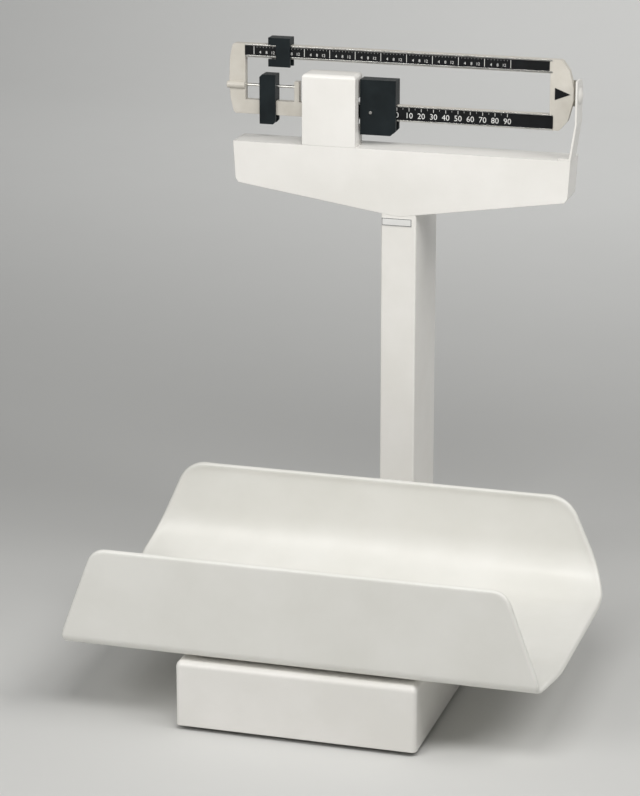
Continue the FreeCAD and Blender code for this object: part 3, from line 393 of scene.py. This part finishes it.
def tray_profile():
    """Middle of the sheet from the front rim to the rear rim: (y, z, outward y, outward z)."""
    inset = TRAY_HALF_THICK
    front, rear = TRAY_LOW.y + inset, TRAY_HIGH.y - inset
    low, top = TRAY_LOW.z + inset, TRAY_HIGH.z
    angles = [math.radians(90) * k / BEND_STEPS for k in range(BEND_STEPS + 1)]

    wall = top - low - TRAY_FRONT_BEND
    straight = wall - TRAY_FRONT_CORNER
    drops = list(RIM_INSETS)
    drops += [
        TRAY_FRONT_CORNER + straight * k / FRONT_WALL_STEPS for k in range(FRONT_WALL_STEPS + 1)
    ]
    drops += [share * TRAY_FRONT_CORNER for share in FRONT_CORNER_SHARES]
    points = [(front, top - drop, -1.0, 0.0) for drop in sorted(drops)]
    outs = [(-math.cos(angle), -math.sin(angle)) for angle in angles[1:]]
    points += bend_points(front + TRAY_FRONT_BEND, low + TRAY_FRONT_BEND, TRAY_FRONT_BEND, outs)

    start, end = front + TRAY_FRONT_BEND, rear - TRAY_REAR_BEND
    for k in range(1, FLOOR_STEPS):
        points.append((start + (end - start) * k / FLOOR_STEPS, low, 0.0, -1.0))

    outs = [(math.sin(angle), -math.cos(angle)) for angle in angles]
    points += bend_points(rear - TRAY_REAR_BEND, low + TRAY_REAR_BEND, TRAY_REAR_BEND, outs)
    wall = top - low - TRAY_REAR_BEND
    straight = wall - TRAY_REAR_CORNER
    drops = list(RIM_INSETS)
    drops += [TRAY_REAR_CORNER + straight * k / REAR_WALL_STEPS for k in range(REAR_WALL_STEPS)]
    drops += [TRAY_REAR_CORNER * share for share in REAR_CORNER_SHARES]
    points += [(rear, top - drop, 1.0, 0.0) for drop in sorted(drops, reverse=True)]
    return points


def wall_half(y, z, at_front):
    """Half the tray's length at a point of its section, before the corners are rounded."""
    start = TRAY_LOW.z + TRAY_END_RISE
    foot = TRAY_FRONT_HALF if at_front else TRAY_HIGH.x
    if z > start:
        share = (z - start) / (TRAY_HIGH.z - start)
        return foot + (TRAY_RIM_HALF - foot) * share
    return interpolated(
        ((TRAY_LOW.y, TRAY_FRONT_HALF), (TRAY_LOW.y + TRAY_TAPER, TRAY_HIGH.x)), y
    )


def corner_cut(radius, drop, slope):
    """How far the rounded corner stands in from the sloping end, this far below the rim."""
    lean = math.atan(slope)
    reach = radius * math.tan((math.radians(90) - lean) / 2)
    if drop >= reach * math.cos(lean):
        return 0.0
    across = math.sqrt(radius**2 - (radius - drop) ** 2)
    return max(reach + drop * slope - across, 0.0)


def smooth_step(share):
    """0 to 1 with level ends, for a share of the way that is held between 0 and 1."""
    share = max(0.0, min(1.0, share))
    return share * share * (3 - 2 * share)


def flare(y, out_y, end):
    """How far the sheet turns outwards this far from its open end; the front wall stays flat."""
    turned = max(0.0, 1 - end / TRAY_FLARE_WIDTH) ** 2
    start = TRAY_LOW.y + TRAY_FRONT_BEND
    fade = smooth_step((y - start) / TRAY_FLARE_RUN)
    return TRAY_FLARE_FLOOR * turned * fade * (1 - TRAY_FLARE_REAR_EASE * out_y)


def distances_along(profile):
    """Distance over the sheet from the front rim to each point of its section."""
    along = [0.0]
    for (y0, z0, *_), (y1, z1, *_) in zip(profile, profile[1:]):
        along.append(along[-1] + math.hypot(y1 - y0, z1 - z0))
    return along


def tray_halves(profile, along):
    """Half the tray's length at each point of its section, with the corners rounded."""
    middle_y = (TRAY_LOW.y + TRAY_HIGH.y) / 2
    halves = []
    for y, z, *_ in profile:
        at_front = y < middle_y
        foot = TRAY_FRONT_HALF if at_front else TRAY_HIGH.x
        radius = TRAY_FRONT_CORNER if at_front else TRAY_REAR_CORNER
        slope = (foot - TRAY_RIM_HALF) / (TRAY_HIGH.z - TRAY_LOW.z - TRAY_END_RISE)
        halves.append(wall_half(y, z, at_front) - corner_cut(radius, TRAY_HIGH.z - z, slope))
    # The low corners are rounded about the middle of the front bend.
    bend = next(k for k, point in enumerate(profile) if point[3] < -math.sqrt(0.5))
    for k, step in enumerate(along):
        near = max(0.0, 1 - abs(step - along[bend]) / TRAY_LOW_CORNER_RUN)
        halves[k] -= TRAY_LOW_CORNER * near * near
    return halves


def rim_distance(outline, length, x, step, row):
    """Distance over the sheet to its nearest edge."""
    best = min(step, length - step)
    here = Vector((abs(x), step))
    first = max(row - RIM_SEARCH_ROWS, 0)
    last = min(row + RIM_SEARCH_ROWS, len(outline) - 1)
    for k in range(first, last):
        a, b = outline[k], outline[k + 1]
        edge = b - a
        share = max(0.0, min(1.0, (here - a).dot(edge) / edge.length_squared))
        best = min(best, (here - a - edge * share).length)
    return best


def tray_cells(profile, along, halves):
    """Rows of (outer point, inner point) over the sheet, thicker and rounded at its rims."""
    outline = [Vector((half, step)) for half, step in zip(halves, along)]
    rows = []
    for row, ((y, z, out_y, out_z), half, step) in enumerate(zip(profile, halves, along)):
        inner = half - RIM_INSETS[-1]
        across = [half - inset for inset in RIM_INSETS]
        across += [inner * (1 - 2 * k / TRAY_COLUMNS) for k in range(1, TRAY_COLUMNS)]
        across += [inset - half for inset in reversed(RIM_INSETS)]
        cells = []
        for x in across:
            near = rim_distance(outline, along[-1], x, step, row)
            bead = smooth_step(1 - near / TRAY_BEAD_WIDTH)
            thick = TRAY_HALF_THICK + (TRAY_BEAD - TRAY_HALF_THICK) * bead
            turn = max(0.0, 1 - near / TRAY_BEAD)
            shift = flare(y, out_y, half - abs(x)) - (thick - TRAY_HALF_THICK)
            thick *= math.sqrt(max(0.0, 1 - turn * turn))
            cells.append((
                (x, y + out_y * (shift + thick), z + out_z * (shift + thick)),
                (x, y + out_y * (shift - thick), z + out_z * (shift - thick)),
            ))
        rows.append(cells)
    return rows


def closed_sheet(name, rows):
    """A mesh with two sides, from rows of (outer point, inner point) that meet at the rims."""
    build = bmesh.new()
    last_row, last_column = len(rows) - 1, len(rows[0]) - 1
    outer, inner = [], []
    for i, cells in enumerate(rows):
        outer_row, inner_row = [], []
        for j, (out_point, in_point) in enumerate(cells):
            on_edge = i in (0, last_row) or j in (0, last_column)
            first = build.verts.new(out_point)
            outer_row.append(first)
            inner_row.append(first if on_edge else build.verts.new(in_point))
        outer.append(outer_row)
        inner.append(inner_row)
    for i in range(last_row):
        for j in range(last_column):
            a, b = outer[i][j], outer[i][j + 1]
            c, d = outer[i + 1][j + 1], outer[i + 1][j]
            build.faces.new((a, b, c, d))
            e, f = inner[i][j], inner[i][j + 1]
            g, h = inner[i + 1][j + 1], inner[i + 1][j]
            build.faces.new((h, g, f, e))
    bmesh.ops.recalc_face_normals(build, faces=build.faces)
    mesh = bpy.data.meshes.new(name)
    build.to_mesh(mesh)
    build.free()
    return mesh


def tray_mesh():
    profile = tray_profile()
    along = distances_along(profile)
    halves = tray_halves(profile, along)
    return closed_sheet("tray_shell", tray_cells(profile, along, halves))


tray = piece("tray_shell", tray_mesh(), "platform", "tray_shell", smooth=True)
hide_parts("tray")


# ---- the bars' polished edges, graduations and numerals

UPPER_LOW, UPPER_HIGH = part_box("upper_scale_strip")
LOWER_LOW, LOWER_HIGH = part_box("lower_scale_strip")
CASTING_LOW, CASTING_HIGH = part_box("beam_casting")
INK = 0.1 * MM
LINE = 0.7 * MM
HAIR = 0.35 * MM
NUMERAL_STEPS = 3
BOX_FACES = (
    (0, 1, 3, 2),
    (4, 6, 7, 5),
    (0, 4, 5, 1),
    (2, 3, 7, 6),
    (0, 2, 6, 4),
    (1, 5, 7, 3),
)


def bars(name, boxes, body, slot, round_by=0.0):
    """Many small raised rectangles in one mesh, with their front edges eased."""
    build = bmesh.new()
    for (x0, y0, z0), (x1, y1, z1) in boxes:
        corners = [(x, y, z) for x in (x0, x1) for y in (y0, y1) for z in (z0, z1)]
        v = [build.verts.new(corner) for corner in corners]
        for face in BOX_FACES:
            build.faces.new([v[k] for k in face])
    bmesh.ops.recalc_face_normals(build, faces=build.faces)
    if round_by:
        front = min(vert.co.y for vert in build.verts)
        edges = [
            edge
            for edge in build.edges
            if all(abs(vert.co.y - front) < INK / 10 for vert in edge.verts)
        ]
        bmesh.ops.bevel(
            build, geom=edges, offset=round_by, segments=3, profile=0.5, affect="EDGES"
        )
    mesh = bpy.data.meshes.new(name)
    build.to_mesh(mesh)
    build.free()
    return piece(name, mesh, body, slot)


def numerals(name, labels, size, face, body, slot):
    """Numbers as raised shapes: each label is (text, x of its middle, z of its middle)."""
    build = bmesh.new()
    for text, x, z in labels:
        curve = bpy.data.curves.new("numeral", "FONT")
        curve.body = text
        curve.size = size
        curve.align_x = "CENTER"
        curve.align_y = "CENTER"
        curve.extrude = INK / 2
        curve.resolution_u = NUMERAL_STEPS
        maker = bpy.data.objects.new("numeral", curve)
        mesh = bpy.data.meshes.new_from_object(maker)
        for vertex in mesh.vertices:
            flat = vertex.co.copy()
            vertex.co = (x + flat.x, face - INK / 2 - flat.z, z + flat.y)
        build.from_mesh(mesh)
        bpy.data.objects.remove(maker)
        bpy.data.meshes.remove(mesh)
        bpy.data.curves.remove(curve)
    bmesh.ops.remove_doubles(build, verts=build.verts, dist=INK / 20)
    bmesh.ops.recalc_face_normals(build, faces=build.faces)
    mesh = bpy.data.meshes.new(name)
    build.to_mesh(mesh)
    build.free()
    return piece(name, mesh, body, slot)


RAIL_SETBACK = 0.2 * MM
RAIL_SEAM = 0.1 * MM
RAIL_ROUND = 0.45 * MM
UPPER_RAIL_PAST_STRIP = 4 * MM
UPPER_RAIL_LOW = 752.2 * MM
UPPER_RAIL_BELOW_TOP = 0.3 * MM
LOWER_RAIL_LOW = 677.6 * MM
LOWER_RAIL_HIGH = 698.2 * MM


def rails():
    """Bright machined edges above and below each black strip."""
    front = UPPER_LOW.y + RAIL_SETBACK
    back = CASTING_LOW.y + RAIL_SETBACK
    top = CASTING_HIGH.z - UPPER_RAIL_BELOW_TOP
    upper = (UPPER_LOW.x, UPPER_HIGH.x + UPPER_RAIL_PAST_STRIP)
    lower = (LOWER_LOW.x, LOWER_HIGH.x)
    spans = (
        (upper, UPPER_RAIL_LOW, UPPER_LOW.z - RAIL_SEAM),
        (upper, UPPER_HIGH.z + RAIL_SEAM, top),
        (lower, LOWER_RAIL_LOW, LOWER_LOW.z - RAIL_SEAM),
        (lower, LOWER_HIGH.z + RAIL_SEAM, LOWER_RAIL_HIGH),
    )
    boxes = [((x0, front, z0), (x1, back, z1)) for (x0, x1), z0, z1 in spans]
    bars("beam_rails", boxes, "beam", "bright_steel", round_by=RAIL_ROUND)


# The upper bar counts units, each of 16 parts, and the lower bar counts in tens.
UNIT = 34.8 * MM
UNIT_START = -204.8 * MM
UNITS = 10
UNIT_PARTS = 16
QUARTERS = 4
EIGHTHS = 8
UPPER_MARK_GAP = 0.6 * MM
UNIT_MARK_FOOT = 1.0 * MM
EIGHTH_MARK_DEPTH = 2.0 * MM
QUARTER_LEVEL = 4.0 * MM
QUARTER_SIZE = 5.4 * MM
TEN = 16.5 * MM
TEN_START = -8.5 * MM
TENS = 9
LOWER_MARK_GAP = 0.5 * MM
TEN_MARK = 4.4 * MM
HALF_TEN_MARK = 2.4 * MM
TEN_LEVEL = 6.0 * MM
TEN_SIZE = 10.6 * MM


def graduations():
    """White lines: eighths of a unit on the upper bar, tens with halves on the lower bar."""
    face = UPPER_LOW.y
    top = UPPER_HIGH.z - UPPER_MARK_GAP
    boxes = []
    for k in range(UNITS * EIGHTHS + 1):
        x = UNIT_START + k * UNIT / EIGHTHS
        half, low = HAIR / 2, UPPER_HIGH.z - EIGHTH_MARK_DEPTH
        if k % EIGHTHS == 0:
            half, low = LINE / 2, UPPER_LOW.z + UNIT_MARK_FOOT
        boxes.append(((x - half, face - INK, low), (x + half, face, top)))
    face = LOWER_LOW.y
    top = LOWER_HIGH.z - LOWER_MARK_GAP
    for k in range(2 * TENS + 1):
        x = TEN_START + k * TEN / 2
        half, drop = (HAIR / 2, HALF_TEN_MARK) if k % 2 else (LINE / 2, TEN_MARK)
        boxes.append(((x - half, face - INK, top - drop), (x + half, face, top)))
    bars("graduations", boxes, "beam", "plate_metal")


def scale_numbers():
    """Parts of a unit at each quarter of the upper bar, and the lower bar's tens."""
    level = UPPER_LOW.z + QUARTER_LEVEL
    labels = []
    for unit in range(UNITS):
        for quarter in range(1, QUARTERS):
            x = UNIT_START + (unit + quarter / QUARTERS) * UNIT
            labels.append((str(quarter * UNIT_PARTS // QUARTERS), x, level))
    numerals("upper_quarters", labels, QUARTER_SIZE, UPPER_LOW.y, "beam", "plate_metal")
    level = LOWER_LOW.z + TEN_LEVEL
    labels = [(str(10 * k), TEN_START + k * TEN, level) for k in range(TENS + 1)]
    numerals("lower_numbers", labels, TEN_SIZE, LOWER_LOW.y, "beam", "plate_metal")


def plate_border():
    """A thin dark frame just inside the name plate's edges."""
    low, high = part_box("name_plate")
    face, wide, inset = low.y, 0.55 * MM, 0.5 * MM
    x0, x1 = low.x + inset, high.x - inset
    z0, z1 = low.z + inset, high.z - inset
    spans = (
        ((x0, z0), (x1, z0 + wide)),
        ((x0, z1 - wide), (x1, z1)),
        ((x0, z0 + wide), (x0 + wide, z1 - wide)),
        ((x1 - wide, z0 + wide), (x1, z1 - wide)),
    )
    boxes = [((a, face - INK, b), (c, face, d)) for (a, b), (c, d) in spans]
    bars("plate_border", boxes, "base", "scale_strip")


rails()
graduations()
scale_numbers()
plate_border()


# ---------------------------------------------------------------- stage


def stage_material(name, colour, roughness):
    finish = Finish(name)
    clouds = finish.noise(3.0, detail=4.0)
    dimmer = tuple(0.97 * value for value in colour[:3]) + (1.0,)
    tone = finish.mixed(clouds, colour, dimmer)
    rough = finish.ranged(clouds, 0.3, 0.7, roughness, roughness + 0.1)
    return finish.done(tone, rough, finish.bumped(finish.noise(300.0), 0.0001, 0.1))


def floor():
    """A plain pale sweep: flat under the object, then curving up behind it."""
    half, front, back, bend, top = 30.0, -30.0, 3.5, 1.6, 8.0
    profile = [(front, 0.0)]
    steps = 24
    for k in range(steps + 1):
        angle = math.radians(90) * k / steps
        profile.append((back + bend * math.sin(angle), bend * (1 - math.cos(angle))))
    profile.append((back + bend, top))
    mesh = bpy.data.meshes.new("floor")
    points = [(side * half, y, z) for y, z in profile for side in (-1, 1)]
    faces = [(2 * k, 2 * k + 1, 2 * k + 3, 2 * k + 2) for k in range(len(profile) - 1)]
    mesh.from_pydata(points, [], faces)
    mesh.shade_smooth()
    mesh.materials.append(stage_material("studio_floor", linear(214, 214, 212), 0.7))
    obj = bpy.data.objects.new("floor", mesh)
    bpy.context.scene.collection.objects.link(obj)


def lamp(name, place, target, size, power, colour):
    light = bpy.data.lights.new(name, "AREA")
    light.shape = "RECTANGLE"
    light.size, light.size_y = size
    light.energy = power
    light.color = colour
    obj = bpy.data.objects.new(name, light)
    obj.location = place
    obj.rotation_euler = (Vector(target) - Vector(place)).to_track_quat("-Z", "Y").to_euler()
    bpy.context.scene.collection.objects.link(obj)


WORLD_COLOUR = (0.97, 0.985, 1.0, 1.0)
WORLD_STRENGTH = 0.14
WARM = (1.0, 0.991, 0.973)
WHITE = (1.0, 1.0, 1.0)
# Name, place, target, width and height, watts, colour.
LAMPS = (
    ("key", (-1.1, -1.75, 1.5), (0.0, 0.1, 0.5), (1.2, 1.2), 19.0, WARM),
    ("front", (0.25, -0.95, 1.6), (0.0, 0.18, 0.6), (0.9, 0.5), 11.0, WARM),
    ("right", (1.7, -0.5, 2.1), (0.0, 0.1, 0.5), (1.2, 1.2), 26.0, WARM),
    ("backdrop", (0.0, 2.3, 3.0), (0.0, 5.0, 1.4), (3.0, 1.0), 84.0, WHITE),
)


def studio():
    """Soft lamps in a dim, faintly cool room."""
    world = bpy.data.worlds.new("studio")
    world.use_nodes = True
    background = world.node_tree.nodes["Background"]
    background.inputs["Color"].default_value = WORLD_COLOUR
    background.inputs["Strength"].default_value = WORLD_STRENGTH
    bpy.context.scene.world = world
    for row in LAMPS:
        lamp(*row)
    bpy.context.scene.view_settings.view_transform = "Standard"


CAMERA_PLACE = (0.98025, -3.48541, 1.46215)
CAMERA_AZIMUTH = math.radians(16.538)
CAMERA_ELEVATION = math.radians(16.983)
CAMERA_LENS = 133.49
CAMERA_SENSOR = 36.0


def camera():
    """Looks at the object from the front, a little from its right and above."""
    data = bpy.data.cameras.new("camera")
    data.sensor_fit = "AUTO"
    data.sensor_width = CAMERA_SENSOR
    data.lens = CAMERA_LENS
    obj = bpy.data.objects.new("camera", data)
    obj.location = CAMERA_PLACE
    look = Vector((
        -math.sin(CAMERA_AZIMUTH) * math.cos(CAMERA_ELEVATION),
        math.cos(CAMERA_AZIMUTH) * math.cos(CAMERA_ELEVATION),
        -math.sin(CAMERA_ELEVATION),
    ))
    obj.rotation_euler = look.to_track_quat("-Z", "Y").to_euler()
    bpy.context.scene.collection.objects.link(obj)
    bpy.context.scene.camera = obj


floor()
studio()
camera()
